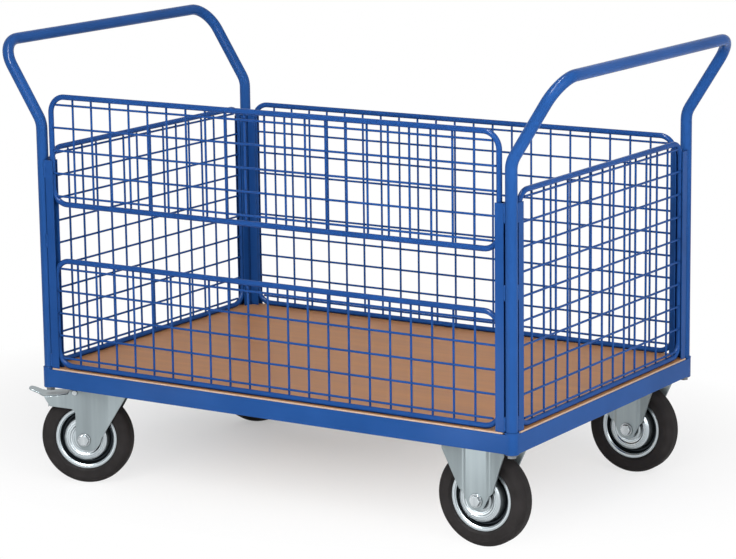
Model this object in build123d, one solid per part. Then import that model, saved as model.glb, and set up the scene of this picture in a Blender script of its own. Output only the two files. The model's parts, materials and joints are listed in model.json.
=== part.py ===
from build123d import *
import math
import os

# Mesh-sided platform trolley, in millimetres: X along its length, Y across it, Z up from the floor.
# The front is at -Y, the braked swivel casters are at -X, and the origin is under the deck's centre.

# Deck
DECK_LENGTH = 1200.0
DECK_WIDTH = 800.0
RAIL_TOP = 258.0
RAIL_HEIGHT = 40.0
RAIL_FOOT = 15.0
RAIL_WALL = 3.0
RAIL_EDGE_RADIUS = 1.5
BOARD_TOP = 261.0
BOARD_THICKNESS = 15.0
BOARD_PLAY = 0.6
BEARER_SIZE = 25.0
BEARER_WALL = 2.0

# Handle bows and the sockets they stand in
POST_X = 585.0
POST_Y = 385.0
TUBE_RADIUS = 12.5
TUBE_WALL = 2.0
SOCKET_RADIUS = 15.0
SOCKET_BOTTOM = 216.5
SOCKET_TOP = 260.0
BOW_FOOT = 218.5
BOW_KNEE = 805.0
BOW_KNEE_RADIUS = 50.0
GRIP_X = 694.0
GRIP_HEIGHT = 975.0
GRIP_CORNER_RADIUS = 60.0
PLUG_LENGTH = 25.0
HANDLE_BOLT_RADIUS = 5.0
HANDLE_BOLT_LENGTH = 24.0
HANDLE_WASHER_RADIUS = 13.5
HANDLE_WASHER_THICKNESS = 1.5

# Mesh panels: a bent round bar with a sheet of crossing wires inside it
BAR_RADIUS = 6.0
BAR_CORNER_RADIUS = 36.0
WIRE_RADIUS = 2.4
WIRE_PITCH = 50.0
WIRE_BITE = 0.4
PANEL_BAR_X = 558.0
PANEL_UPRIGHTS = 21
PANEL_BOTTOM = 267.5
REAR_PANEL_HEIGHT = 482.5
REAR_PANEL_ROWS = 10
HALF_PANEL_HEIGHT = 235.0
HALF_PANEL_ROWS = 5
HALF_PANEL_GAP = 0.5
UPPER_PANEL_RAISED = 113.0
END_BAR_Y = 358.0
END_WALL_HEIGHT = 475.5
END_UPRIGHTS = 13
END_ROWS = 10

# Upright guide channels on the handle legs, one for a long panel and one for an end wall
CHANNEL_DEPTH = 20.0
CHANNEL_WIDTH = 19.0
CHANNEL_WALL = 2.0
CHANNEL_TOP = 724.0

# Casters
CASTER_Y = 330.0
FIXED_CASTER_X = 491.0
SWIVEL_X = -472.0
TRAIL = 46.0
FRONT_YAW = 22.5
REAR_YAW = 60.0
AXLE_HEIGHT = 102.5
BEAM_WIDTH = 150.0
BEAM_WALL = 3.0
BEAM_WEB_BOTTOM = 232.0
PLATE_LENGTH = 150.0
PLATE_WIDTH = 110.0
PLATE_THICKNESS = 4.0
PLATE_CORNER_RADIUS = 6.0
CASTER_BOLT_X = 60.0
CASTER_BOLT_Y = 30.0
CASTER_BOLT_RADIUS = 5.0
BOLT_CLEARANCE = 0.5
NUT_HEIGHT = 8.0
HEX_FLAT_RATIO = 1.7
BOLT_HEAD_RATIO = 1.28
FORK_WALL = 4.0
LEG_OUTSIDE = 35.0
FIXED_FOLD = 22.0
RIB_RISE = 2.5
SWIVEL_FOLD = 7.0
SWIVEL_TIP_FOLD = 14.0
CREASE_RADIUS = 9.0
SWIVEL_CREASE = 15.0
TIP_CREASE = -11.0
SWIVEL_FRONT = -48.0

# Swivel bearing and king pin
PIN_RADIUS = 8.0
PIN_BOTTOM = 203.5
PIN_HEAD_RADIUS = 14.0
PIN_HEAD_HEIGHT = 7.2
PIN_HEAD_EDGE = 2.0
CROWN_TOP = 215.0
RACE_INNER_RADIUS = 24.0
RACE_OUTER_RADIUS = 38.0
LOWER_RACE_TOP = 219.0
UPPER_RACE_BOTTOM = 222.0
BALL_RADIUS = 4.0
BALL_CIRCLE_RADIUS = 31.0
BALL_COUNT = 20
RUNNING_PLAY = 0.05

# Wheel brake, in the swivel fork's own frame
PEDAL_PIVOT_U = 64.0
PEDAL_PIVOT_Z = 209.0
PEDAL_PIN_RADIUS = 3.5
PEDAL_RIVET_RADIUS = 6.0
PEDAL_RIVET_THICKNESS = 2.5
PEDAL_RIVET_EDGE = 1.2
PEDAL_HALF_WIDTH = 28.0
PEDAL_TIP_HALF_WIDTH = 15.0
PEDAL_TIP_RADIUS = 12.0
PEDAL_THICKNESS = 3.0
KNUCKLE_RADIUS = 6.0
KNUCKLE_WIDTH = 8.0
SHOE_HALF_WIDTH = 18.0
SHOE_GAP = 6.0

# Wheels
TYRE_RADIUS = 102.5
TYRE_HALF_WIDTH = 23.0
TREAD_HALF_WIDTH = 9.0
TYRE_SEAT_RADIUS = 62.4
RIM_FLANGE_RADIUS = 69.0
RIM_FACE = 16.5
RIM_WALL = 2.0
HUB_RADIUS = 17.0
HUB_HALF_LENGTH = 27.0
SLEEVE_RADIUS = 8.0
AXLE_RADIUS = 6.0
AXLE_HEAD_HEIGHT = 7.5
AXLE_NUT_HEIGHT = 10.0
AXLE_THREAD_PROUD = 2.0
AXLE_FLANGE_RADIUS = 14.5
AXLE_FLANGE_THICKNESS = 2.2

FIT_GAP = 0.05
SIDES = (-1, 1)
RAIL_BOTTOM = RAIL_TOP - RAIL_HEIGHT
BOARD_BOTTOM = BOARD_TOP - BOARD_THICKNESS
LEG_INSIDE = LEG_OUTSIDE - FORK_WALL
RIB_OUTSIDE = LEG_OUTSIDE + RIB_RISE
PLATE_BOTTOM = BEAM_WEB_BOTTOM - PLATE_THICKNESS
CORNERS = [(POST_X * sx, POST_Y * sy) for sx in SIDES for sy in SIDES]
BOLT_SPOTS = [(CASTER_BOLT_X * sx, CASTER_BOLT_Y * sy) for sx in SIDES for sy in SIDES]
BASE_ALIGN = (Align.CENTER, Align.CENTER, Align.MIN)


def group(solids):
    """Separate like pieces that share one node."""
    return Compound(children=list(solids))


def rod(radius, bottom, top):
    """Upright round rod on the Z axis."""
    return Pos(0, 0, bottom) * Cylinder(radius, top - bottom, align=BASE_ALIGN)


def cross_rod(radius, start, end):
    """Round rod along the Y axis."""
    return Pos(0, start, 0) * Rot(-90, 0, 0) * Cylinder(radius, end - start, align=BASE_ALIGN)


def hexagon(radius, height):
    """Hexagon head or nut for a thread of this radius, standing on the XY plane."""
    return extrude(RegularPolygon(radius * HEX_FLAT_RATIO, 6, major_radius=False), height)


def socket_shadow():
    """Room that the rails leave for the four corner sockets."""
    clearance = SOCKET_RADIUS + FIT_GAP
    return [Pos(x, y, 0) * rod(clearance, 0, GRIP_HEIGHT) for x, y in CORNERS]


def rail(half_wall, half_foot):
    """Rolled angle along X: a tall outer wall at y = 0 and a foot turned in along its lower edge."""
    section = Polyline(
        (0, 0), (RAIL_FOOT, 0), (RAIL_FOOT, RAIL_WALL), (RAIL_WALL, RAIL_WALL),
        (RAIL_WALL, RAIL_HEIGHT), (0, RAIL_HEIGHT), close=True)
    face = make_face(section)
    outer_corners = [v for v in face.vertices() if v.X < FIT_GAP]
    face = fillet(outer_corners, RAIL_EDGE_RADIUS)
    bar = extrude(Plane.YZ * face, half_wall, both=True)
    end_cut = Pos(half_foot, RAIL_WALL, 0) * Box(
        DECK_LENGTH, RAIL_FOOT, RAIL_WALL, align=(Align.MIN, Align.MIN, Align.MIN))
    return bar - end_cut - mirror(end_cut, Plane.YZ)


def long_rail(side):
    """Front (-1) or rear (+1) rail of the deck."""
    bar = rail(POST_X, DECK_LENGTH / 2 - RAIL_FOOT)
    turn = 0 if side < 0 else 180
    placed = Rot(0, 0, turn) * Pos(0, -DECK_WIDTH / 2, RAIL_BOTTOM) * bar
    return placed - socket_shadow()


def end_rail(side):
    """Left (-1) or right (+1) rail of the deck."""
    bar = rail(POST_Y, POST_Y)
    turn = -90 if side < 0 else 90
    placed = Rot(0, 0, turn) * Pos(0, -DECK_LENGTH / 2, RAIL_BOTTOM) * bar
    return placed - socket_shadow()


def corner_sockets():
    """Short tubes at the corners, welded between the rails, that hold the handle legs."""
    sleeve = rod(SOCKET_RADIUS, SOCKET_BOTTOM, SOCKET_TOP)
    sleeve = sleeve - rod(TUBE_RADIUS + FIT_GAP, SOCKET_BOTTOM, SOCKET_TOP)
    return group([Pos(x, y, 0) * sleeve for x, y in CORNERS])


def deck_board():
    """Loading board that lies inside the rails and stands a little proud of them."""
    length = DECK_LENGTH - 2 * (RAIL_WALL + BOARD_PLAY)
    width = DECK_WIDTH - 2 * (RAIL_WALL + BOARD_PLAY)
    board = Pos(0, 0, BOARD_BOTTOM) * Box(length, width, BOARD_THICKNESS, align=BASE_ALIGN)
    notch = 2 * (SOCKET_RADIUS + BOARD_PLAY)
    return board - [Pos(x, y, BOARD_BOTTOM) * Box(notch, notch, BOARD_THICKNESS, align=BASE_ALIGN)
                    for x, y in CORNERS]


def caster_beam(x):
    """Wide channel across the frame under the board, with the holes of two casters in its web."""
    length = DECK_WIDTH - 2 * (RAIL_WALL + FIT_GAP)
    height = BOARD_BOTTOM - BEAM_WEB_BOTTOM
    beam = Box(BEAM_WIDTH, length, height, align=BASE_ALIGN)
    trough = Box(BEAM_WIDTH - 2 * BEAM_WALL, length, height, align=BASE_ALIGN)
    beam = beam - Pos(0, 0, BEAM_WALL) * trough
    holes = [Pos(hx, hy + side * CASTER_Y, 0) * rod(CASTER_BOLT_RADIUS + BOLT_CLEARANCE, 0, BEAM_WALL)
             for hx, hy in BOLT_SPOTS for side in SIDES]
    return Pos(x, 0, BEAM_WEB_BOTTOM) * (beam - holes)


def middle_bearer():
    """Square tube across the middle, lying on the rails' feet and carrying the board."""
    length = DECK_WIDTH - 2 * (RAIL_WALL + FIT_GAP)
    inside = BEARER_SIZE - 2 * BEARER_WALL
    tube = Box(BEARER_SIZE, length, BEARER_SIZE) - Box(inside, length, inside)
    return Pos(0, 0, BOARD_BOTTOM - BEARER_SIZE / 2) * tube


def handle_bow(side):
    """Bent tube: two legs up from the sockets, leaning out to one grip bar across the end."""
    leg_x = side * POST_X
    grip_x = side * GRIP_X
    path = FilletPolyline(
        (leg_x, -POST_Y, BOW_FOOT), (leg_x, -POST_Y, BOW_KNEE), (grip_x, -POST_Y, GRIP_HEIGHT),
        (grip_x, POST_Y, GRIP_HEIGHT), (leg_x, POST_Y, BOW_KNEE), (leg_x, POST_Y, BOW_FOOT),
        radius=[BOW_KNEE_RADIUS, GRIP_CORNER_RADIUS, GRIP_CORNER_RADIUS, BOW_KNEE_RADIUS])
    ring = Circle(TUBE_RADIUS) - Circle(TUBE_RADIUS - TUBE_WALL)
    return sweep(Pos(leg_x, -POST_Y, BOW_FOOT) * ring, path=path)


def handle_leg_plugs():
    """Threaded plugs in the feet of the handle legs."""
    top = BOW_FOOT + PLUG_LENGTH
    plug = rod(TUBE_RADIUS - TUBE_WALL - FIT_GAP, BOW_FOOT, top)
    plug = plug - rod(HANDLE_BOLT_RADIUS + FIT_GAP, BOW_FOOT, top)
    return group([Pos(x, y, 0) * plug for x, y in CORNERS])


def handle_bolts():
    """Hexagon bolts that hold the handle legs down from underneath."""
    head_height = HANDLE_BOLT_RADIUS * BOLT_HEAD_RATIO
    seat = SOCKET_BOTTOM - HANDLE_WASHER_THICKNESS
    bolt = Pos(0, 0, seat - head_height) * hexagon(HANDLE_BOLT_RADIUS, head_height)
    bolt = bolt + rod(HANDLE_BOLT_RADIUS, seat, seat + HANDLE_BOLT_LENGTH)
    return group([Pos(x, y, 0) * bolt for x, y in CORNERS])


def handle_washers():
    """Washers between the handle bolts and the sockets."""
    bottom = SOCKET_BOTTOM - HANDLE_WASHER_THICKNESS
    washer = rod(HANDLE_WASHER_RADIUS, bottom, SOCKET_BOTTOM)
    washer = washer - rod(HANDLE_BOLT_RADIUS + BOLT_CLEARANCE, bottom, SOCKET_BOTTOM)
    return group([Pos(x, y, 0) * washer for x, y in CORNERS])


def bar_frame(half_length, height):
    """Round bar bent to a closed rectangle in the XZ plane, its lower bar at z = 0."""
    path = FilletPolyline(
        (0, 0, 0), (half_length, 0, 0), (half_length, 0, height), (0, 0, height),
        radius=BAR_CORNER_RADIUS)
    half = sweep(Plane.YZ * Circle(BAR_RADIUS), path=path)
    return half + mirror(half, Plane.YZ)


def row_reach(half_length, above_bar):
    """Half length of a row of wire, shortened where it runs beside the frame's rounded corners."""
    inside = BAR_RADIUS + FIT_GAP
    into_corner = BAR_CORNER_RADIUS + WIRE_RADIUS - above_bar
    if into_corner <= 0:
        return half_length - inside
    corner_inside = BAR_CORNER_RADIUS - inside
    return half_length - BAR_CORNER_RADIUS + math.sqrt(corner_inside ** 2 - into_corner ** 2)


def wire_sheet(half_length, height, uprights, rows):
    """Welded wire sheet inside a bar frame: rows along X on the outer (-Y) side of the uprights."""
    layer = WIRE_RADIUS - WIRE_BITE / 2
    inside = BAR_RADIUS + FIT_GAP
    first_row = (height - (rows - 1) * WIRE_PITCH) / 2
    first_upright = -(uprights - 1) / 2 * WIRE_PITCH
    upright = rod(WIRE_RADIUS, inside, height - inside)
    wires = [Pos(first_upright + i * WIRE_PITCH, layer, 0) * upright for i in range(uprights)]
    for i in range(rows):
        level = first_row + i * WIRE_PITCH
        reach = row_reach(half_length, min(level, height - level))
        wires.append(Pos(0, -layer, level) * Rot(0, 90, 0) * Cylinder(WIRE_RADIUS, 2 * reach))
    return wires[0].fuse(*wires[1:])


def long_panel_place(bottom, side):
    """Where a long mesh panel stands: front (-1) or rear (+1), its outer side outwards."""
    turn = 0 if side < 0 else 180
    return Rot(0, 0, turn) * Pos(0, -POST_Y, bottom)


def end_wall_place(side):
    """Where an end wall stands: left (-1) or right (+1), its outer side outwards."""
    turn = -90 if side < 0 else 90
    return Rot(0, 0, turn) * Pos(0, -POST_X, PANEL_BOTTOM)


def guide_channel():
    """Upright channel with its back at x = 0, open towards -X where a panel's bar slides in it."""
    height = CHANNEL_TOP - BOARD_TOP
    inner_width = CHANNEL_WIDTH - 2 * CHANNEL_WALL
    channel = Box(CHANNEL_DEPTH, CHANNEL_WIDTH, height, align=(Align.MAX, Align.CENTER, Align.MIN))
    slot = Box(CHANNEL_DEPTH, inner_width, height, align=(Align.MAX, Align.CENTER, Align.MIN))
    return channel - Pos(-CHANNEL_WALL, 0, 0) * slot


def corner_channels(side_x, side_y):
    """Two channels welded to one handle leg, for the long panel and for the end wall beside it."""
    back = TUBE_RADIUS + FIT_GAP
    for_panel = Rot(0, 0, 0 if side_x > 0 else 180) * Pos(-back, 0, 0) * guide_channel()
    for_wall = Rot(0, 0, 90 if side_y > 0 else -90) * Pos(-back, 0, 0) * guide_channel()
    leg = Pos(side_x * POST_X, side_y * POST_Y, BOARD_TOP)
    return group([leg * for_panel, leg * for_wall])


def caster_plate():
    """Top plate of a caster with its four bolt holes, its upper face against the beam."""
    outline = RectangleRounded(PLATE_LENGTH, PLATE_WIDTH, PLATE_CORNER_RADIUS)
    plate = Pos(0, 0, PLATE_BOTTOM) * extrude(outline, PLATE_THICKNESS)
    hole = rod(CASTER_BOLT_RADIUS + BOLT_CLEARANCE, PLATE_BOTTOM, BEAM_WEB_BOTTOM)
    return plate - [Pos(x, y, 0) * hole for x, y in BOLT_SPOTS]


def ball_groove():
    """Groove that the balls run in, common to both races."""
    height = (LOWER_RACE_TOP + UPPER_RACE_BOTTOM) / 2
    return Pos(0, 0, height) * Torus(BALL_CIRCLE_RADIUS, BALL_RADIUS + RUNNING_PLAY)


def swivel_plate():
    """Top plate of a swivel caster, with the upper ball race formed under it."""
    race = rod(RACE_OUTER_RADIUS, UPPER_RACE_BOTTOM, PLATE_BOTTOM)
    race = race - rod(RACE_INNER_RADIUS, UPPER_RACE_BOTTOM, PLATE_BOTTOM) - ball_groove()
    pin_hole = rod(PIN_RADIUS + FIT_GAP, PLATE_BOTTOM, BEAM_WEB_BOTTOM)
    return caster_plate() + race - pin_hole


def king_pin():
    """Rivet that the swivel fork hangs on, flush with the top plate's upper face."""
    head = rod(PIN_HEAD_RADIUS, PIN_BOTTOM, PIN_BOTTOM + PIN_HEAD_HEIGHT)
    head = fillet(head.edges().group_by(Axis.Z)[0], PIN_HEAD_EDGE)
    return head + rod(PIN_RADIUS, PIN_BOTTOM, BEAM_WEB_BOTTOM)


def swivel_balls():
    """Ring of steel balls between the two races."""
    height = (LOWER_RACE_TOP + UPPER_RACE_BOTTOM) / 2
    step = 360 / BALL_COUNT
    ball = Pos(BALL_CIRCLE_RADIUS, 0, height) * Sphere(BALL_RADIUS)
    return group([Rot(0, 0, i * step) * ball for i in range(BALL_COUNT)])


def pressed_leg(plan_points, outline):
    """One fork leg: a sheet folded along upright creases, cut to an outline seen from the side."""
    spine = FilletPolyline(*plan_points, radius=CREASE_RADIUS)
    sheet = make_face(offset(spine, FORK_WALL, side=Side.LEFT, kind=Kind.INTERSECTION))
    folded = extrude(sheet, BEAM_WEB_BOTTOM)
    return folded & extrude(Plane.XZ * outline, PLATE_WIDTH, both=True)


def both_legs(leg):
    """A fork leg and its twin on the other side of the wheel."""
    return leg + mirror(leg, Plane.XZ)


def axle_hole():
    """Hole through both fork legs for the axle bolt."""
    return cross_rod(AXLE_RADIUS + FIT_GAP, -PLATE_WIDTH, PLATE_WIDTH)


def fixed_fork():
    """Fixed caster's fork: a top plate with two legs, each a flat rib between wings that flare outwards."""
    rib = 25.0
    crease = 31.0
    wing_reach = 85.0
    wing_offset = LEG_OUTSIDE + (wing_reach - crease) * math.tan(math.radians(FIXED_FOLD))
    plan = [(wing_reach, wing_offset), (crease, LEG_OUTSIDE), (rib, RIB_OUTSIDE),
            (-rib, RIB_OUTSIDE), (-crease, LEG_OUTSIDE), (-wing_reach, wing_offset)]
    wing_top = (72.0, PLATE_BOTTOM)
    wing_shoulder = (72.0, 207.0)
    wing_foot = (39.0, 123.0)
    strip_edge = (crease, 116.0)
    foot = (14.0, AXLE_HEIGHT - 20.0)
    foot_radius = 12.0
    half_edge = [wing_top, wing_shoulder, wing_foot, strip_edge, foot]
    mirrored_edge = [(-u, z) for u, z in reversed(half_edge)]
    outline = make_face(Polyline(*half_edge, *mirrored_edge, close=True))
    foot_corners = [v for v in outline.vertices() if v.Y < AXLE_HEIGHT]
    outline = fillet(foot_corners, foot_radius)
    legs = both_legs(pressed_leg(plan, outline))
    return caster_plate() + legs - Pos(0, 0, AXLE_HEIGHT) * axle_hole()


def swivel_leg_outside(u):
    """How far out the swivel fork's folded leg stands, ahead of its first crease."""
    first_fold = math.tan(math.radians(SWIVEL_FOLD))
    tip_fold = math.tan(math.radians(SWIVEL_TIP_FOLD))
    beyond_tip_crease = max(0.0, TIP_CREASE - u)
    before_tip_crease = SWIVEL_CREASE - u - beyond_tip_crease
    return LEG_OUTSIDE - before_tip_crease * first_fold - beyond_tip_crease * tip_fold


def swivel_leg():
    """Swivel fork's leg: flat beside the wheel, folded in twice at the front, with an arm for the brake."""
    tip_u = -62.0
    back_u = 160.0
    plan = [(back_u, LEG_OUTSIDE), (SWIVEL_CREASE, LEG_OUTSIDE),
            (TIP_CREASE, swivel_leg_outside(TIP_CREASE)), (tip_u, swivel_leg_outside(tip_u))]
    front = (SWIVEL_FRONT, 199.0)
    front_foot = (8.0, AXLE_HEIGHT + 2.0)
    low_point = (36.0, AXLE_HEIGHT - 24.0)
    back_foot = (64.0, AXLE_HEIGHT + 2.0)
    root_start = (64.0, 158.0)
    root_middle = (67.0, 168.0)
    root_end = (76.0, 172.5)
    arm = [root_end, (121.0, 177.0), (130.0, 190.0), (134.0, 198.5),
           (112.0, 199.5), (80.0, 204.0), (74.0, CROWN_TOP)]
    edge = [
        Line(back_foot, root_start),
        ThreePointArc(root_start, root_middle, root_end),
        Polyline(*arm, (front[0], CROWN_TOP), front, front_foot),
        ThreePointArc(front_foot, low_point, back_foot),
    ]
    return pressed_leg(plan, make_face(edge))


def swivel_fork():
    """Swivel caster's fork: two legs under a crown that carries the lower ball race."""
    back = 52.0
    edge = [(u, swivel_leg_outside(u) - FORK_WALL / 2) for u in (SWIVEL_FRONT, TIP_CREASE, SWIVEL_CREASE)]
    edge.append((back, LEG_OUTSIDE - FORK_WALL / 2))
    half_plan = make_face(Polyline((SWIVEL_FRONT, 0), *edge, (back, 0), close=True))
    crown_plan = half_plan + mirror(half_plan, Plane.XZ)
    crown = Pos(0, 0, CROWN_TOP - FORK_WALL) * extrude(crown_plan, FORK_WALL)
    race = rod(RACE_OUTER_RADIUS, CROWN_TOP - FORK_WALL, LOWER_RACE_TOP)
    race = race - rod(RACE_INNER_RADIUS, CROWN_TOP, LOWER_RACE_TOP) - ball_groove()
    pin_hole = rod(PIN_RADIUS + RUNNING_PLAY, PIN_BOTTOM, BEAM_WEB_BOTTOM)
    pedal_hole = Pos(PEDAL_PIVOT_U, 0, PEDAL_PIVOT_Z) * cross_rod(
        PEDAL_PIN_RADIUS + FIT_GAP, -PLATE_WIDTH, PLATE_WIDTH)
    fork = both_legs(swivel_leg()) + crown + race
    return fork - pin_hole - pedal_hole - Pos(TRAIL, 0, AXLE_HEIGHT) * axle_hole()


def pedal_pin():
    """Riveted pin across the fork that the brake pedal turns on."""
    rivet_end = LEG_OUTSIDE + FIT_GAP + PEDAL_RIVET_THICKNESS
    pin = cross_rod(PEDAL_PIN_RADIUS, -rivet_end, rivet_end)
    rivet = cross_rod(PEDAL_RIVET_RADIUS, LEG_OUTSIDE + FIT_GAP, rivet_end)
    rivet = fillet(rivet.edges().group_by(Axis.Y)[-1], PEDAL_RIVET_EDGE)
    return Pos(PEDAL_PIVOT_U, 0, PEDAL_PIVOT_Z) * (pin + rivet + mirror(rivet, Plane.XZ))


def brake_pedal():
    """Brake pedal: a bent strip from its pivot back over the tyre to the foot tip, with a brake shoe."""
    bends = [(70.0, 209.5), (100.0, 202.0), (141.0, 199.0), (176.0, 212.0)]
    bend_radius = 18.0
    spine = FilletPolyline(*bends, radius=bend_radius)
    strip = make_face(offset(spine, PEDAL_THICKNESS, side=Side.RIGHT, kind=Kind.INTERSECTION))
    pedal = extrude(Plane.XZ * strip, PEDAL_HALF_WIDTH, both=True)
    neck_u = 132.0
    tip_u = 152.0
    beyond_u = 200.0
    half_plan = make_face(Polyline(
        (0, 0), (0, PEDAL_HALF_WIDTH), (neck_u, PEDAL_HALF_WIDTH), (tip_u, PEDAL_TIP_HALF_WIDTH),
        (beyond_u, PEDAL_TIP_HALF_WIDTH), (beyond_u, 0), close=True))
    plan = half_plan + mirror(half_plan, Plane.XZ)
    pedal = pedal & extrude(plan, BEAM_WEB_BOTTOM)
    tip_corners = pedal.edges().filter_by(Axis.Z, tolerance=30).sort_by(Axis.X)[-2:]
    pedal = fillet(tip_corners, PEDAL_TIP_RADIUS)
    shoe_start = 108.0
    shoe_end = 130.0
    below_shoe = 160.0
    shoe_outline = make_face(Polyline(
        (shoe_start, 200.0), (shoe_end, 198.0),
        (shoe_end, below_shoe), (shoe_start, below_shoe), close=True))
    shoe = extrude(Plane.XZ * shoe_outline, SHOE_HALF_WIDTH, both=True)
    tyre_room = Pos(TRAIL, 0, AXLE_HEIGHT) * cross_rod(TYRE_RADIUS + SHOE_GAP, -PLATE_WIDTH, PLATE_WIDTH)
    pivot = Pos(PEDAL_PIVOT_U, 0, PEDAL_PIVOT_Z)
    knuckle = pivot * cross_rod(KNUCKLE_RADIUS, PEDAL_HALF_WIDTH - KNUCKLE_WIDTH, PEDAL_HALF_WIDTH)
    pin_room = pivot * cross_rod(PEDAL_PIN_RADIUS + RUNNING_PLAY, -PLATE_WIDTH, PLATE_WIDTH)
    return pedal + (shoe - tyre_room) + both_legs(knuckle) - pin_room


def tyre():
    """Solid rubber tyre, turned about the Y axis."""
    behind_flange = RIM_FACE - 2.4
    seat = [(TYRE_SEAT_RADIUS, 0), (TYRE_SEAT_RADIUS, RIM_FACE - 5.0)]
    seat_edge = (TYRE_SEAT_RADIUS + 3.1, behind_flange)
    lip = [(RIM_FLANGE_RADIUS + 0.6, behind_flange), (RIM_FLANGE_RADIUS + 1.0, RIM_FACE + 1.0)]
    side_inner = (RIM_FLANGE_RADIUS + 5.0, TYRE_HALF_WIDTH)
    side_outer = (TYRE_RADIUS - 16.0, TYRE_HALF_WIDTH)
    shoulder = (TYRE_RADIUS - 4.7, TREAD_HALF_WIDTH + 9.9)
    tread_edge = (TYRE_RADIUS, TREAD_HALF_WIDTH)
    edge = [
        Polyline(*seat, seat_edge, *lip, side_inner, side_outer),
        ThreePointArc(side_outer, shoulder, tread_edge),
        Polyline(tread_edge, (TYRE_RADIUS, 0), seat[0]),
    ]
    half_tyre = revolve(make_face(edge), Axis.Y)
    return half_tyre + mirror(half_tyre, Plane.XZ)


def rim_half():
    """One pressed steel disc of the rim: hub seat, raised dome, groove and the flange by the tyre."""
    hub_seat = [(HUB_RADIUS + FIT_GAP, 25.0), (24.0, 25.0)]
    dome = [(27.0, 22.5), (33.0, 23.5), (36.5, 25.5), (43.0, 25.0), (48.0, 21.0)]
    groove = [(50.5, 8.0), (53.0, 3.0), (57.0, 3.0)]
    flange = [(60.2, 7.5), (60.2, RIM_FACE - 3.0), (63.5, RIM_FACE), (RIM_FLANGE_RADIUS, RIM_FACE)]
    press_radius = 1.6
    profile = FilletPolyline(*hub_seat, *dome, *groove, *flange, radius=press_radius)
    disc = make_face(offset(profile, RIM_WALL, side=Side.RIGHT, kind=Kind.INTERSECTION))
    return revolve(disc, Axis.Y)


def hub_tube():
    """Hub tube that the rim's two discs are pressed on, running on the axle's sleeve."""
    bore = cross_rod(SLEEVE_RADIUS + RUNNING_PLAY, -HUB_HALF_LENGTH, HUB_HALF_LENGTH)
    return cross_rod(HUB_RADIUS, -HUB_HALF_LENGTH, HUB_HALF_LENGTH) - bore


def wheel_body():
    """Steel wheel centre: two pressed discs and the hub tube between them."""
    disc = rim_half()
    return group([disc, mirror(disc, Plane.XZ), hub_tube()])


def axle_sleeve(leg_inside):
    """Tube clamped between the fork legs, which the hub turns on."""
    reach = leg_inside - FIT_GAP
    return cross_rod(SLEEVE_RADIUS, -reach, reach) - cross_rod(AXLE_RADIUS + FIT_GAP, -reach, reach)


def axle_bolt(leg_outside):
    """Axle bolt with a flanged hexagon head on one leg of a fork and a nut on the other."""
    seat = leg_outside + FIT_GAP
    thread_end = seat + AXLE_NUT_HEIGHT + AXLE_THREAD_PROUD
    head = Pos(0, seat, 0) * Rot(-90, 0, 0) * hexagon(AXLE_RADIUS, AXLE_HEAD_HEIGHT)
    flange = cross_rod(AXLE_FLANGE_RADIUS, seat, seat + AXLE_FLANGE_THICKNESS)
    bolt = head + flange + cross_rod(AXLE_RADIUS, -thread_end, seat)
    nut = Pos(0, -seat, 0) * Rot(90, 0, 0) * hexagon(AXLE_RADIUS, AXLE_NUT_HEIGHT)
    nut = nut - cross_rod(AXLE_RADIUS + FIT_GAP, -2 * seat, 0)
    return group([bolt, nut])


def caster_bolts():
    """Bolts up through the caster plates and the beams."""
    head_height = CASTER_BOLT_RADIUS * BOLT_HEAD_RATIO
    head = Pos(0, 0, PLATE_BOTTOM - head_height) * hexagon(CASTER_BOLT_RADIUS, head_height)
    bolt = head + rod(CASTER_BOLT_RADIUS, PLATE_BOTTOM, BEAM_WEB_BOTTOM + BEAM_WALL + NUT_HEIGHT)
    return group([Pos(cx + x, cy + y, 0) * bolt for cx, cy in CASTERS for x, y in BOLT_SPOTS])


def caster_nuts():
    """Nuts on the caster bolts, inside the beams."""
    bottom = BEAM_WEB_BOTTOM + BEAM_WALL
    nut = Pos(0, 0, bottom) * hexagon(CASTER_BOLT_RADIUS, NUT_HEIGHT)
    nut = nut - rod(CASTER_BOLT_RADIUS + FIT_GAP, bottom, bottom + NUT_HEIGHT)
    return group([Pos(cx + x, cy + y, 0) * nut for cx, cy in CASTERS for x, y in BOLT_SPOTS])


CASTERS = [(x, side * CASTER_Y) for x in (SWIVEL_X, FIXED_CASTER_X) for side in SIDES]
FRONT_FIXED = Pos(FIXED_CASTER_X, -CASTER_Y, 0) * Rot(0, 0, 180)
REAR_FIXED = Pos(FIXED_CASTER_X, CASTER_Y, 0) * Rot(0, 0, 180)
FRONT_SWIVEL = Pos(SWIVEL_X, -CASTER_Y, 0) * Rot(0, 0, 180 + FRONT_YAW)
REAR_SWIVEL = Pos(SWIVEL_X, CASTER_Y, 0) * Rot(0, 0, 180 + REAR_YAW)
AXLE = Pos(0, 0, AXLE_HEIGHT)
TRAILING_AXLE = Pos(TRAIL, 0, AXLE_HEIGHT)


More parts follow.
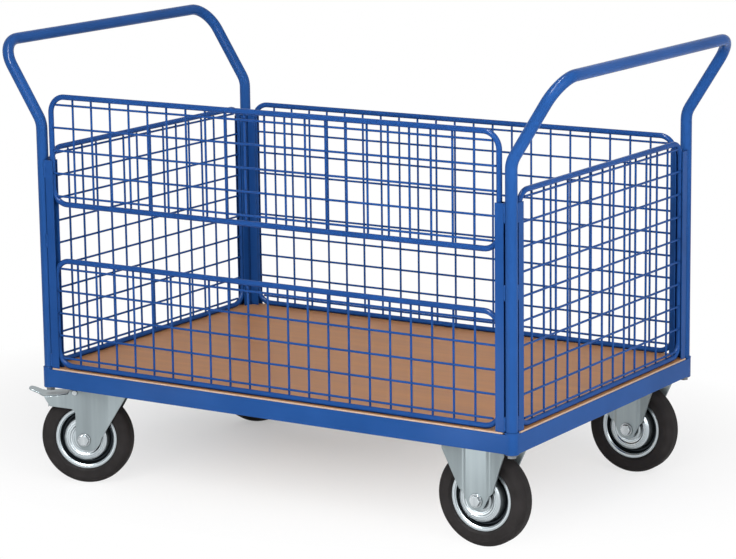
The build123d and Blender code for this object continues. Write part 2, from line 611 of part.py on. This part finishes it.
def chassis_nodes():
    """Welded deck frame, board, handles, channels and the casters' fixed pieces."""
    plate = swivel_plate()
    pin = king_pin()
    fork = fixed_fork()
    bolt = axle_bolt(RIB_OUTSIDE)
    sleeve = axle_sleeve(RIB_OUTSIDE - FORK_WALL)
    nodes = {
        "front_rail": long_rail(-1),
        "rear_rail": long_rail(1),
        "left_rail": end_rail(-1),
        "right_rail": end_rail(1),
        "corner_sockets": corner_sockets(),
        "left_caster_beam": caster_beam(SWIVEL_X),
        "right_caster_beam": caster_beam(FIXED_CASTER_X),
        "middle_bearer": middle_bearer(),
        "deck_board": deck_board(),
        "handle_leg_plugs": handle_leg_plugs(),
        "handle_bolts": handle_bolts(),
        "handle_washers": handle_washers(),
        "caster_bolts": caster_bolts(),
        "caster_nuts": caster_nuts(),
        "left_front_caster_plate": Pos(SWIVEL_X, -CASTER_Y, 0) * plate,
        "left_rear_caster_plate": Pos(SWIVEL_X, CASTER_Y, 0) * plate,
        "left_front_king_pin": Pos(SWIVEL_X, -CASTER_Y, 0) * pin,
        "left_rear_king_pin": Pos(SWIVEL_X, CASTER_Y, 0) * pin,
        "right_front_fork": FRONT_FIXED * fork,
        "right_rear_fork": REAR_FIXED * fork,
        "right_front_axle_bolt": FRONT_FIXED * AXLE * bolt,
        "right_rear_axle_bolt": REAR_FIXED * AXLE * bolt,
        "right_axle_sleeves": group([FRONT_FIXED * AXLE * sleeve, REAR_FIXED * AXLE * sleeve]),
    }
    for name, side in (("left", -1), ("right", 1)):
        nodes[f"{name}_handle_bow"] = handle_bow(side)
        nodes[f"{name}_front_channels"] = corner_channels(side, -1)
        nodes[f"{name}_rear_channels"] = corner_channels(side, 1)
    return nodes


def panel_nodes():
    """Two end walls, the rear panel and the two half panels of the front, the upper one standing raised."""
    end_frame = bar_frame(END_BAR_Y, END_WALL_HEIGHT)
    end_wires = wire_sheet(END_BAR_Y, END_WALL_HEIGHT, END_UPRIGHTS, END_ROWS)
    left = end_wall_place(-1)
    right = end_wall_place(1)
    upper_bottom = PANEL_BOTTOM + HALF_PANEL_HEIGHT + 2 * BAR_RADIUS + HALF_PANEL_GAP
    rear = long_panel_place(PANEL_BOTTOM, 1)
    lower = long_panel_place(PANEL_BOTTOM, -1)
    upper = long_panel_place(upper_bottom + UPPER_PANEL_RAISED, -1)
    half_frame = bar_frame(PANEL_BAR_X, HALF_PANEL_HEIGHT)
    half_wires = wire_sheet(PANEL_BAR_X, HALF_PANEL_HEIGHT, PANEL_UPRIGHTS, HALF_PANEL_ROWS)
    rear_wires = wire_sheet(PANEL_BAR_X, REAR_PANEL_HEIGHT, PANEL_UPRIGHTS, REAR_PANEL_ROWS)
    return {
        "left_end_frame": left * end_frame,
        "left_end_wires": left * end_wires,
        "right_end_frame": right * end_frame,
        "right_end_wires": right * end_wires,
        "rear_panel_frame": rear * bar_frame(PANEL_BAR_X, REAR_PANEL_HEIGHT),
        "rear_panel_wires": rear * rear_wires,
        "lower_panel_frame": lower * half_frame,
        "lower_panel_wires": lower * half_wires,
        "upper_panel_frame": upper * half_frame,
        "upper_panel_wires": upper * half_wires,
    }


def swivel_nodes():
    """What turns with each swivel caster, apart from its wheel."""
    fork = swivel_fork()
    balls = swivel_balls()
    pin = pedal_pin()
    pedal = brake_pedal()
    bolt = axle_bolt(LEG_OUTSIDE)
    sleeve = axle_sleeve(LEG_INSIDE)
    nodes = {}
    for name, place in (("left_front", FRONT_SWIVEL), ("left_rear", REAR_SWIVEL)):
        nodes[f"{name}_fork"] = place * fork
        nodes[f"{name}_balls"] = place * balls
        nodes[f"{name}_pedal_pin"] = place * pin
        nodes[f"{name}_brake_pedal"] = place * pedal
        nodes[f"{name}_axle_bolt"] = place * TRAILING_AXLE * bolt
        nodes[f"{name}_axle_sleeve"] = place * TRAILING_AXLE * sleeve
    return nodes


def wheel_nodes():
    """Tyre and steel centre of each of the four wheels."""
    places = {
        "left_front": FRONT_SWIVEL * TRAILING_AXLE,
        "left_rear": REAR_SWIVEL * TRAILING_AXLE,
        "right_front": FRONT_FIXED * AXLE,
        "right_rear": REAR_FIXED * AXLE,
    }
    rubber = tyre()
    body = wheel_body()
    nodes = {}
    for name, place in places.items():
        nodes[f"{name}_tyre"] = place * rubber
        nodes[f"{name}_wheel_body"] = place * body
    return nodes


os.makedirs("parts", exist_ok=True)
for nodes in (chassis_nodes(), panel_nodes(), swivel_nodes(), wheel_nodes()):
    for node, solid in nodes.items():
        export_step(solid, f"parts/{node}.step")
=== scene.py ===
import json
import math

import bmesh
import bpy
from mathutils import Matrix, Vector


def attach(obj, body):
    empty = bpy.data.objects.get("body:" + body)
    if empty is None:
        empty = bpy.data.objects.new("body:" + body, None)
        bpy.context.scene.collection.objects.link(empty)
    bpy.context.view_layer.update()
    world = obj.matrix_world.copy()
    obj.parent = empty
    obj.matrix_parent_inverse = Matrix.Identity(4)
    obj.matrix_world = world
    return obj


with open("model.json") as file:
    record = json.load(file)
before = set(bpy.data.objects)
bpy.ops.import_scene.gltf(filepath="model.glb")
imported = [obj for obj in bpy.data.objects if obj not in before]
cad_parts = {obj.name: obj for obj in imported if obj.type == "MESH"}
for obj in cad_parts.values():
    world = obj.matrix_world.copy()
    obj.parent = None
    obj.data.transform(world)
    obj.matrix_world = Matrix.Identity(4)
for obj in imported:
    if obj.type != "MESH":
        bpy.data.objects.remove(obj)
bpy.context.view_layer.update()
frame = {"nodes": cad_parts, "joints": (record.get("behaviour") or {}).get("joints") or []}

# Deck frame
# Rolled steel angle rails and corner sockets, with cross beams under the board,
# all welded together and coated as one with glossy blue powder.


def new_material(name):
    """Node material with its shader, and a coordinate output that moves with the piece."""
    material = bpy.data.materials.new(name)
    material.use_nodes = True
    tree = material.node_tree
    place = tree.nodes.new("ShaderNodeTexCoord")
    return material, tree, tree.nodes["Principled BSDF"], place.outputs["Object"]


def add_vector(tree, operation, first, second=None):
    """Vector operation on an output, with a fixed second value where it needs one."""
    node = tree.nodes.new("ShaderNodeVectorMath")
    node.operation = operation
    tree.links.new(first, node.inputs[0])
    if second is not None:
        node.inputs[1].default_value = second
    return node.outputs["Value" if operation == "LENGTH" else "Vector"]


def add_noise(tree, place, scale, detail=2.0):
    """Noise over the piece, in features per metre."""
    noise = tree.nodes.new("ShaderNodeTexNoise")
    noise.inputs["Scale"].default_value = scale
    noise.inputs["Detail"].default_value = detail
    tree.links.new(place, noise.inputs["Vector"])
    return noise.outputs["Fac"]


def add_ramp(tree, factor, stops):
    """Colours spread over a factor, as (position, colour) stops."""
    ramp = tree.nodes.new("ShaderNodeValToRGB")
    elements = ramp.color_ramp.elements
    for element, (position, colour) in zip(elements, (stops[0], stops[-1])):
        element.position = position
        element.color = (*colour, 1.0)
    for position, colour in stops[1:-1]:
        elements.new(position).color = (*colour, 1.0)
    tree.links.new(factor, ramp.inputs["Fac"])
    return ramp.outputs["Color"]


def add_range(tree, factor, low, high, start=0.3, end=0.7):
    """A factor between start and end, spread between two values."""
    spread = tree.nodes.new("ShaderNodeMapRange")
    spread.inputs["From Min"].default_value = start
    spread.inputs["From Max"].default_value = end
    spread.inputs["To Min"].default_value = low
    spread.inputs["To Max"].default_value = high
    tree.links.new(factor, spread.inputs["Value"])
    return spread.outputs["Result"]


def add_crevice(tree, distance):
    """How open a spot is: 0 deep in a groove or seam, 1 on a free face."""
    openness = tree.nodes.new("ShaderNodeAmbientOcclusion")
    openness.samples = 8
    openness.inputs["Distance"].default_value = distance
    return openness.outputs["AO"]


def add_mix(tree, factor, first, second):
    """Colour that goes from the first to the second as the factor rises."""
    mix = tree.nodes.new("ShaderNodeMix")
    mix.data_type = "RGBA"
    tree.links.new(factor, mix.inputs["Factor"])
    for colour, socket in ((first, mix.inputs["A"]), (second, mix.inputs["B"])):
        if isinstance(colour, tuple):
            socket.default_value = (*colour, 1.0)
        else:
            tree.links.new(colour, socket)
    return mix.outputs["Result"]


def add_bump(tree, height, depth, edge_radius):
    """Fine relief of this depth in metres, on edges that are softened a little."""
    edge = tree.nodes.new("ShaderNodeBevel")
    edge.inputs["Radius"].default_value = edge_radius
    bump = tree.nodes.new("ShaderNodeBump")
    bump.inputs["Distance"].default_value = depth
    tree.links.new(height, bump.inputs["Height"])
    tree.links.new(edge.outputs["Normal"], bump.inputs["Normal"])
    return bump.outputs["Normal"]


# Dark blue painted into the seams and hollows of the powder coat as shade
SEAM_SHADE_BLUE = (0.002, 0.010, 0.055)
SEAM_REACH = 0.012
PEEL_DEPTH = 0.00003
SOFT_EDGE = 0.0009
CRISP_EDGE = 0.0003
COAT_SPECULAR = 0.055


def powder_coat(name, deep, light, edge_radius=SOFT_EDGE):
    """Baked blue powder: slightly cloudy colour, painted shade darkening the seams and hollows, orange-peel
    relief and an even gloss.
    """
    material, tree, shader, place = new_material(name)
    clouds = add_ramp(tree, add_noise(tree, place, 7.0, 4.0), [(0.3, deep), (0.7, light)])
    # Seams and hollows are darkened towards this dark blue as painted shade, by how open each spot is
    seam = add_range(tree, add_crevice(tree, SEAM_REACH), 0.0, 1.0, 0.25, 0.75)
    tree.links.new(add_mix(tree, seam, SEAM_SHADE_BLUE, clouds), shader.inputs["Base Color"])
    gloss = add_range(tree, add_noise(tree, place, 60.0), 0.16, 0.24)
    tree.links.new(gloss, shader.inputs["Roughness"])
    peel = add_noise(tree, place, 380.0, 1.0)
    tree.links.new(add_bump(tree, peel, PEEL_DEPTH, edge_radius), shader.inputs["Normal"])
    shader.inputs["Specular IOR Level"].default_value = COAT_SPECULAR
    return material


def dress(material, *names):
    """Give CAD nodes a material in place of their plain one."""
    for name in names:
        materials = frame["nodes"][name].data.materials
        materials.clear()
        materials.append(material)


frame_coat = powder_coat("frame_coat", (0.014, 0.071, 0.256), (0.019, 0.087, 0.305), CRISP_EDGE)
dress(frame_coat, "front_rail", "rear_rail", "left_rail", "right_rail", "corner_sockets")
dress(frame_coat, "left_caster_beam", "right_caster_beam", "middle_bearer")

# Deck board
# One sheet of pressed wood board with a printed beech face on top and a pale backing
# sheet below, laid loose inside the rails; its sawn edges show the paler core.


def beech_board(name):
    """Beech decor with grain along the deck's length on the upper face, pale edges and backing."""
    material, tree, shader, place = new_material(name)
    grain = add_noise(tree, add_vector(tree, "MULTIPLY", place, (1.2, 22.0, 22.0)), 2.2, 4.0)
    face = add_ramp(tree, grain, [
        (0.25, (0.405, 0.178, 0.072)),
        (0.50, (0.465, 0.214, 0.090)),
        (0.75, (0.520, 0.247, 0.108)),
    ])
    flecks = add_noise(tree, place, 900.0, 2.0)
    core = add_ramp(tree, flecks, [(0.35, (0.60, 0.42, 0.29)), (0.65, (0.80, 0.61, 0.45))])
    geometry = tree.nodes.new("ShaderNodeNewGeometry")
    split = tree.nodes.new("ShaderNodeSeparateXYZ")
    tree.links.new(geometry.outputs["Normal"], split.inputs["Vector"])
    upward = add_range(tree, split.outputs["Z"], 0.0, 1.0, 0.5, 0.9)
    tree.links.new(add_mix(tree, upward, core, face), shader.inputs["Base Color"])
    tree.links.new(add_range(tree, grain, 0.45, 0.58), shader.inputs["Roughness"])
    tree.links.new(add_bump(tree, grain, 0.00006, 0.0005), shader.inputs["Normal"])
    shader.inputs["Specular IOR Level"].default_value = 0.15
    return material


dress(beech_board("beech_decor"), "deck_board")

# Handle bows
# Each is one length of round steel tube, bent to an inverted U that leans out at the top;
# its legs stand in the corner sockets, bolted from underneath.

TUBE_BLUES = ((0.014, 0.070, 0.250), (0.019, 0.086, 0.298))
tube_coat = powder_coat("tube_coat", *TUBE_BLUES)
dress(tube_coat, "left_handle_bow", "right_handle_bow")

# Guide channels
# Folded sheet channels that the walls slide in, two to a handle leg, stitch-welded
# to it by hand and coated with it.

# The same blue powder as the handle tubes, made a little darker as painted shade
channel_coat = powder_coat("channel_coat", (0.012, 0.065, 0.242), (0.017, 0.080, 0.290))
for name in frame["nodes"]:
    if "_channel" in name:
        dress(channel_coat, name)

# Welds
# Rippled beads of hand-laid weld: short stitches that hold the channels to the handle legs and a ring
# round each leg where it enters its socket, all under the same coat.

STITCH_LEVELS = [(0.262, 0.294), (0.529, 0.561), (0.684, 0.724)]
STITCH_SEAMS = [(0.5745, 0.3935), (0.5935, 0.3745)]
STITCH_RADIUS = 0.0024
RING_CENTRE = (0.585, 0.385)
RING_RADIUS = 0.0137
RING_LEVEL = 0.2601
RING_BEAD_RADIUS = 0.0016
BEAD_STEP = 0.0015
BEAD_SIDES = 10
STEPS_PER_RIPPLE = 3
RIPPLE_HEIGHT = 0.16
RIPPLE_START = 0.5
WANDER = 0.10
WANDER_RATE = 0.43
END_BLUNTNESS = 8
END_LEAST_AREA = 0.25


def bead_ring(mesh, centre, across, upward, radius):
    """One ring of points round a bead."""
    turns = [2 * math.pi * k / BEAD_SIDES for k in range(BEAD_SIDES)]
    return [mesh.verts.new(centre + (across * math.cos(t) + upward * math.sin(t)) * radius) for t in turns]


def join_rings(mesh, first, second):
    """Skin between two rings of a bead."""
    for k in range(BEAD_SIDES):
        after = (k + 1) % BEAD_SIDES
        mesh.faces.new((first[k], first[after], second[after], second[k])).smooth = True


def close_end(mesh, ring, tip):
    """Rounded end of a bead, from its last ring to one point."""
    point = mesh.verts.new(tip)
    for k in range(BEAD_SIDES):
        mesh.faces.new((ring[k], ring[(k + 1) % BEAD_SIDES], point)).smooth = True


def bead_radius(radius, step):
    """Radius of a bead at a step: ripples from the weld pool, and a slow wander of the hand."""
    ripple = RIPPLE_HEIGHT * math.sin(2 * math.pi * step / STEPS_PER_RIPPLE + RIPPLE_START)
    return radius * (1 + ripple + WANDER * math.sin(WANDER_RATE * step))


def lay_stitch(mesh, x, y, bottom, top):
    """Upright stitch weld with rounded ends."""
    count = round((top - bottom) / BEAD_STEP)
    east = Vector((1, 0, 0))
    north = Vector((0, 1, 0))
    rings = []
    for step in range(count + 1):
        swell = math.sqrt(max(END_LEAST_AREA, 1 - (2 * step / count - 1) ** END_BLUNTNESS))
        centre = Vector((x, y, bottom + step * BEAD_STEP))
        rings.append(bead_ring(mesh, centre, east, north, bead_radius(STITCH_RADIUS, step) * swell))
    for first, second in zip(rings, rings[1:]):
        join_rings(mesh, first, second)
    close_end(mesh, rings[0], (x, y, bottom - BEAD_STEP / 2))
    close_end(mesh, rings[-1], (x, y, bottom + (count + 0.5) * BEAD_STEP))


def lay_ring(mesh, x, y):
    """Ring of weld round a handle leg, on top of its socket."""
    count = STEPS_PER_RIPPLE * round(2 * math.pi * RING_RADIUS / BEAD_STEP / STEPS_PER_RIPPLE)
    rings = []
    for step in range(count):
        turn = 2 * math.pi * step / count
        outward = Vector((math.cos(turn), math.sin(turn), 0))
        centre = Vector((x, y, RING_LEVEL)) + outward * RING_RADIUS
        radius = bead_radius(RING_BEAD_RADIUS, step)
        rings.append(bead_ring(mesh, centre, outward, Vector((0, 0, 1)), radius))
    for step in range(count):
        join_rings(mesh, rings[step], rings[(step + 1) % count])


weld_skin = bmesh.new()
for side_x in (-1, 1):
    for side_y in (-1, 1):
        lay_ring(weld_skin, side_x * RING_CENTRE[0], side_y * RING_CENTRE[1])
        for seam_x, seam_y in STITCH_SEAMS:
            for bottom, top in STITCH_LEVELS:
                lay_stitch(weld_skin, side_x * seam_x, side_y * seam_y, bottom, top)
bmesh.ops.recalc_face_normals(weld_skin, faces=weld_skin.faces)
weld_mesh = bpy.data.meshes.new("welds")
weld_skin.to_mesh(weld_mesh)
weld_skin.free()
weld_mesh.materials.append(powder_coat("weld_coat", *TUBE_BLUES))
welds = bpy.data.objects.new("welds", weld_mesh)
bpy.context.scene.collection.objects.link(welds)
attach(welds, "chassis")

# Mesh walls
# Closed frames of bent round bar filled with spot-welded steel wire, coated after welding
# and hung in the guide channels; the upper half of the front stands raised.

# The walls' blue powder is made a little darker than the frame's, as painted shade
shaded_wall_coat = powder_coat("shaded_wall_coat", (0.012, 0.062, 0.238), (0.016, 0.077, 0.285))
for wall in ("left_end", "right_end", "rear_panel", "lower_panel", "upper_panel"):
    dress(shaded_wall_coat, f"{wall}_frame", f"{wall}_wires")

# Casters
# Pressed steel forks and plates, pins, bolts and brake pedals, all bright zinc plated;
# the left pair swivels and has brakes, the right pair is fixed.

# Dark zinc painted into creases, seams and grooves as shade
CREASE_SHADE_ZINC = (0.016, 0.021, 0.026)
CREASE_SHADE_REACH = 0.018
PLATED_METAL = 0.85


def zinc_plating(name, dark, light, rough):
    """Zinc plating: faint streaks down the pressed sheet, partly the plating's own and partly painted
    sheen, painted shade in the creases and a soft metal sheen.
    """
    material, tree, shader, place = new_material(name)
    streaks = add_noise(tree, add_vector(tree, "MULTIPLY", place, (70.0, 70.0, 2.5)), 1.0, 4.0)
    # The streaked tint is partly the plating's own streaks and partly painted sheen
    streak_tint_and_sheen = add_ramp(tree, streaks, [(0.3, dark), (0.7, light)])
    # Creases are darkened towards the dark zinc as painted shade, by how open each spot is
    crease = add_range(tree, add_crevice(tree, CREASE_SHADE_REACH), 0.0, 1.0, 0.25, 0.85)
    tree.links.new(add_mix(tree, crease, CREASE_SHADE_ZINC, streak_tint_and_sheen), shader.inputs["Base Color"])
    tree.links.new(add_range(tree, streaks, rough - 0.04, rough + 0.04), shader.inputs["Roughness"])
    tree.links.new(add_bump(tree, streaks, 0.00002, 0.0012), shader.inputs["Normal"])
    shader.inputs["Metallic"].default_value = PLATED_METAL
    return material


fork_zinc = zinc_plating("fork_zinc", (0.245, 0.285, 0.30), (0.29, 0.335, 0.35), 0.34)
bolt_zinc = zinc_plating("bolt_zinc", (0.42, 0.46, 0.48), (0.58, 0.62, 0.64), 0.22)
dull_zinc = zinc_plating("dull_zinc", (0.16, 0.17, 0.18), (0.26, 0.27, 0.28), 0.36)
ball_steel = zinc_plating("ball_steel", (0.50, 0.51, 0.52), (0.60, 0.61, 0.62), 0.18)
for corner in ("left_front", "left_rear"):
    dress(fork_zinc, f"{corner}_caster_plate", f"{corner}_fork", f"{corner}_brake_pedal")
    dress(bolt_zinc, f"{corner}_king_pin", f"{corner}_pedal_pin")
    dress(bolt_zinc, f"{corner}_axle_bolt", f"{corner}_axle_sleeve")
    dress(ball_steel, f"{corner}_balls")
for corner in ("right_front", "right_rear"):
    dress(fork_zinc, f"{corner}_fork")
    dress(bolt_zinc, f"{corner}_axle_bolt")
dress(bolt_zinc, "right_axle_sleeves", "caster_nuts")
dress(dull_zinc, "caster_bolts", "handle_bolts", "handle_washers", "handle_leg_plugs")

# Wheels
# Solid rubber tyres moulded on steel centres: two pressed discs, turned bright and zinc plated,
# on a hub tube that runs on the axle's sleeve.


def tyre_rubber(name):
    """Grey-black rubber with a dry bloom and a fine moulded skin."""
    material, tree, shader, place = new_material(name)
    bloom = add_noise(tree, place, 30.0, 5.0)
    colour = add_ramp(tree, bloom, [(0.3, (0.024, 0.022, 0.022)), (0.72, (0.034, 0.031, 0.031))])
    tree.links.new(colour, shader.inputs["Base Color"])
    tree.links.new(add_range(tree, bloom, 0.50, 0.68), shader.inputs["Roughness"])
    skin = add_noise(tree, place, 700.0, 3.0)
    tree.links.new(add_bump(tree, skin, 0.00006, 0.001), shader.inputs["Normal"])
    shader.inputs["Specular IOR Level"].default_value = 0.03
    return material


# Rings to a decimetre, and the inner and outer edges of the painted groove shade in decimetres from the
# axle
TURNING_RINGS = 42.0
GROOVE_INSIDE = (0.500, 0.520)
GROOVE_OUTSIDE = (0.590, 0.604)


def turned_disc(name, centre, axle):
    """Zinc on a disc turned about its axle: fine rings about the centre, painted shade in its creases, and
    the deep groove painted dark all round as shade.
    """
    material, tree, shader, place = new_material(name)
    from_centre = add_vector(tree, "SUBTRACT", place, centre)
    in_decimetres = add_vector(tree, "MULTIPLY", from_centre, (10.0, 10.0, 10.0))
    radius = add_vector(tree, "LENGTH", add_vector(tree, "CROSS_PRODUCT", in_decimetres, axle))
    turning = tree.nodes.new("ShaderNodeTexNoise")
    turning.noise_dimensions = "1D"
    turning.inputs["Scale"].default_value = TURNING_RINGS
    turning.inputs["Detail"].default_value = 3.0
    tree.links.new(radius, turning.inputs["W"])
    rings = turning.outputs["Fac"]
    zinc = add_ramp(tree, rings, [(0.3, (0.34, 0.39, 0.41)), (0.7, (0.58, 0.63, 0.66))])
    # Creases are darkened towards the dark zinc as painted shade, by how open each spot is
    corner = add_range(tree, add_crevice(tree, CREASE_SHADE_REACH), 0.0, 1.0, 0.25, 0.75)
    crease_shaded_zinc = add_mix(tree, corner, CREASE_SHADE_ZINC, zinc)
    # Between the groove's edges the colour is painted dark all round as shade
    unshaded = (1.0, 1.0, 1.0)
    groove_shade = (0.0, 0.0, 0.0)
    groove_stops = zip(GROOVE_INSIDE + GROOVE_OUTSIDE, (unshaded, groove_shade, groove_shade, unshaded))
    groove = add_ramp(tree, radius, list(groove_stops))
    tree.links.new(add_mix(tree, groove, CREASE_SHADE_ZINC, crease_shaded_zinc), shader.inputs["Base Color"])
    tree.links.new(add_range(tree, rings, 0.24, 0.36), shader.inputs["Roughness"])
    tree.links.new(add_bump(tree, rings, 0.00025, 0.0008), shader.inputs["Normal"])
    shader.inputs["Metallic"].default_value = PLATED_METAL
    return material


rubber = tyre_rubber("tyre_rubber")
for joint in frame["joints"]:
    if joint["name"].endswith("_wheel_spin"):
        corner = joint["name"].removesuffix("_wheel_spin")
        dress(rubber, f"{corner}_tyre")
        dress(turned_disc(f"{corner}_disc_zinc", joint["pos_m"], joint["axis"]), f"{corner}_wheel_body")

# Stage
# A plain white floor that fades to pure white away from the object's shadow, an even sky,
# a soft key light from the front, a fill from the right and strip lights that only gloss reflects.

FLOOR_HALF = 60.0
GLOW_BY_OBJECT = 0.38
GLOW_FAR_OFF = 1.0
GLOW_CENTRE = (-0.3, 0.35, 0.0)
GLOW_SQUEEZE = (0.75, 1.0, 0.0)
GLOW_START = 0.15
GLOW_END = 0.95
floor_mesh = bpy.data.meshes.new("floor")
floor_corners = [(-FLOOR_HALF, -FLOOR_HALF, 0), (FLOOR_HALF, -FLOOR_HALF, 0),
                 (FLOOR_HALF, FLOOR_HALF, 0), (-FLOOR_HALF, FLOOR_HALF, 0)]
floor_mesh.from_pydata(floor_corners, [], [(0, 1, 2, 3)])
floor = bpy.data.objects.new("floor", floor_mesh)
bpy.context.scene.collection.objects.link(floor)


def add_math(tree, operation, first, second):
    """Arithmetic on two outputs, kept between 0 and 1."""
    node = tree.nodes.new("ShaderNodeMath")
    node.operation = operation
    node.use_clamp = True
    tree.links.new(first, node.inputs[0])
    tree.links.new(second, node.inputs[1])
    return node.outputs["Value"]


def seen_by_eye(tree):
    """1 for what the camera sees, straight or in gloss or glass, and 0 for light on the object."""
    paths = tree.nodes.new("ShaderNodeLightPath")
    mirrored = add_math(tree, "ADD", paths.outputs["Is Glossy Ray"], paths.outputs["Is Transmission Ray"])
    return add_math(tree, "ADD", paths.outputs["Is Camera Ray"], mirrored)


floor_paint, floor_tree, floor_shader, floor_place = new_material("floor_paint")
floor_shader.inputs["Base Color"].default_value = (0.95, 0.95, 0.95, 1.0)
floor_shader.inputs["Roughness"].default_value = 0.9
floor_shader.inputs["Specular IOR Level"].default_value = 0.0
white_glow = floor_tree.nodes.new("ShaderNodeEmission")
floor_blend = floor_tree.nodes.new("ShaderNodeMixShader")
from_shade = add_vector(floor_tree, "SUBTRACT", floor_place, GLOW_CENTRE)
away = add_vector(floor_tree, "LENGTH", add_vector(floor_tree, "MULTIPLY", from_shade, GLOW_SQUEEZE))
glow = add_range(floor_tree, away, GLOW_BY_OBJECT, GLOW_FAR_OFF, GLOW_START, GLOW_END)
seen_glow = add_math(floor_tree, "MULTIPLY", glow, seen_by_eye(floor_tree))
floor_tree.links.new(seen_glow, floor_blend.inputs["Fac"])
floor_tree.links.new(floor_shader.outputs["BSDF"], floor_blend.inputs[1])
floor_tree.links.new(white_glow.outputs["Emission"], floor_blend.inputs[2])
floor_tree.links.new(floor_blend.outputs["Shader"], floor_tree.nodes["Material Output"].inputs["Surface"])
floor_mesh.materials.append(floor_paint)

SKY_LIGHT = 0.45
world = bpy.data.worlds.new("studio")
world.use_nodes = True
bpy.context.scene.world = world
sky = world.node_tree
sky_shade = sky.nodes["Background"]
sky_shade.inputs["Color"].default_value = (1.0, 1.0, 1.0, 1.0)
sky_level = add_range(sky, seen_by_eye(sky), SKY_LIGHT, 1.0, 0.0, 1.0)
sky.links.new(sky_level, sky_shade.inputs["Strength"])


def add_lamp(name, spot, target, length, width, power):
    """Rectangular studio lamp at a spot, aimed at a point and out of the camera's sight."""
    panel = bpy.data.lights.new(name, "AREA")
    panel.shape = "RECTANGLE"
    panel.size = length
    panel.size_y = width
    panel.energy = power
    lamp = bpy.data.objects.new(name, panel)
    lamp.location = spot
    lamp.rotation_euler = (Vector(target) - Vector(spot)).to_track_quat("-Z", "X").to_euler()
    lamp.visible_camera = False
    bpy.context.scene.collection.objects.link(lamp)
    return lamp


OBJECT_MIDDLE = (0.0, 0.0, 0.4)
add_lamp("key", (0.8, -3.4, 2.9), OBJECT_MIDDLE, 2.6, 2.6, 100.0)
add_lamp("fill", (2.6, -1.2, 1.5), OBJECT_MIDDLE, 1.6, 1.6, 36.0)
for strip in (
    add_lamp("top_strip", (0.0, -2.6, 5.0), (0.0, 0.0, 0.5), 6.0, 0.5, 1500.0),
    add_lamp("left_low_strip", (-0.76, -1.10, 0.14), (-0.42, -0.30, 0.14), 0.26, 0.20, 0.6),
    add_lamp("right_low_strip", (0.10, -1.10, 0.14), (0.45, -0.30, 0.14), 0.26, 0.20, 0.9),
):
    strip.visible_diffuse = False

# Camera
# Long lens from the right of the front, a little above the walls.

CAMERA_SPOT = Vector((3.2914, -5.1426, 1.6874))
CAMERA_YAW = math.radians(32.59)
CAMERA_PITCH = math.radians(-11.5)
CAMERA_ROLL = math.radians(-0.73)
SENSOR_WIDTH = 36.0
FOCAL_LENGTH = 138.72
SIGHT_END = 200.0
lens = bpy.data.cameras.new("camera")
lens.sensor_fit = "HORIZONTAL"
lens.sensor_width = SENSOR_WIDTH
lens.lens = FOCAL_LENGTH
lens.clip_end = SIGHT_END
camera = bpy.data.objects.new("camera", lens)
bpy.context.scene.collection.objects.link(camera)
heading = Matrix.Rotation(CAMERA_YAW, 4, "Z") @ Matrix.Rotation(math.pi / 2 + CAMERA_PITCH, 4, "X")
camera.matrix_world = Matrix.Translation(CAMERA_SPOT) @ heading @ Matrix.Rotation(CAMERA_ROLL, 4, "Z")
bpy.context.scene.camera = camera
bpy.context.scene.view_settings.view_transform = "Standard"
